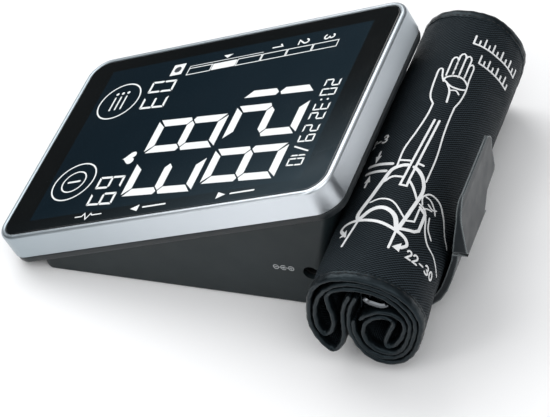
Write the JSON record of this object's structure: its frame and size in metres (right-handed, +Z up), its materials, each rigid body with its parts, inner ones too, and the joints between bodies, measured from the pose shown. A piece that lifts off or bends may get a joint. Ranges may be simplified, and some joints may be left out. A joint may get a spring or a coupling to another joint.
{
  "type": "blood pressure monitor with cuff",
  "caption": "Tabletop upper-arm blood pressure monitor: sloping touch-glass display on a wedge base, with its rolled fabric cuff lying in a curved holder behind.",
  "frame": {"origin": "middle of the whole object's footprint, at the height of the table it stands on", "axes": "+X to the user's right and along the cuff roll, +Y from the low front edge to the high back edge, +Z up"},
  "size_m": [0.1474, 0.1987, 0.0669],
  "materials": {
    "silver_metal": "satin anodised metal band",
    "tinted_glass": "polished black-backed cover glass",
    "clear_film": "clear sensor film",
    "lcd_glass": "liquid crystal panel",
    "white_diffuser": "white light guide",
    "circuit_board": "solder-masked board",
    "zinc_steel": "zinc plated",
    "black_epoxy": "moulded black",
    "cream_plastic": "moulded cream",
    "dark_plastic": "satin dark grey moulding",
    "base_plastic": "fine matte blue-grey moulding",
    "holder_plastic": "satin blue-grey moulding",
    "black_rubber": "matte",
    "battery_jacket": "plain jacket",
    "nickel_plate": "nickel plated",
    "brass": "turned",
    "woven_fabric": "black twill",
    "binding_tape": "black woven edge tape",
    "bladder_rubber": "grey sheet",
    "chrome": "polished wire"
  },
  "bodies": {
    "monitor": {"base_shell": "base_plastic", "upper_case": "dark_plastic", "silver_frame": "silver_metal", "cover_glass": "tinted_glass", "touch_film": "clear_film", "lcd_panel": "lcd_glass", "backlight": "white_diffuser", "main_board": "circuit_board", "microcontroller": "black_epoxy", "buzzer": "black_epoxy", "pressure_sensor": "cream_plastic", "pump_motor": "zinc_steel", "pump_head": "cream_plastic", "pump_saddle": "black_rubber", "release_valve": "zinc_steel", "air_manifold": "cream_plastic", "dc_jack": "black_epoxy", "air_socket": "black_epoxy", "battery_contacts_front": "nickel_plate", "battery_contacts_back": "nickel_plate", "cuff_cradle": "holder_plastic", "battery_1": "battery_jacket", "board_screw_1": "zinc_steel", "case_screw_1": "zinc_steel", "battery_2": "battery_jacket", "board_screw_2": "zinc_steel", "case_screw_2": "zinc_steel", "battery_3": "battery_jacket", "board_screw_3": "zinc_steel", "case_screw_3": "zinc_steel", "battery_4": "battery_jacket", "board_screw_4": "zinc_steel", "case_screw_4": "zinc_steel", "rubber_foot_front_left": "black_rubber", "rubber_foot_front_right": "black_rubber", "rubber_foot_back_left": "black_rubber", "rubber_foot_back_right": "black_rubber"},
    "battery_door": {"battery_door": "base_plastic"},
    "pump_crank": {"pump_crank": "brass"},
    "valve_plunger": {"valve_plunger": "brass"},
    "cuff": {"cuff_wrap": "woven_fabric", "cuff_binding_left": "binding_tape", "cuff_binding_right": "binding_tape", "cuff_bladder": "bladder_rubber", "cuff_metal_bar": "chrome", "cuff_air_port": "black_epoxy"}
  },
  "joints": [
    {"name": "battery_door_hinge", "type": "hinge", "parent": "monitor", "child": "battery_door", "pos_m": [-0.02075, -0.02176, 0.0017], "axis": [-1, 0, 0], "range_deg": [0, 100]},
    {"name": "pump_crank_spin", "type": "hinge", "parent": "monitor", "child": "pump_crank", "pos_m": [0.02725, 0.01614, 0.0166], "axis": [0, 1, 0], "continuous": true},
    {"name": "valve_plunger_travel", "type": "slide", "parent": "monitor", "child": "valve_plunger", "axis": [0, 1, 0], "range_m": [0, 0.0015], "stiffness_N_per_m": 150},
    {"name": "cuff_lift_out", "type": "slide", "parent": "monitor", "child": "cuff", "axis": [1, 0, 0], "range_m": [0, 0.16]}
  ]
}
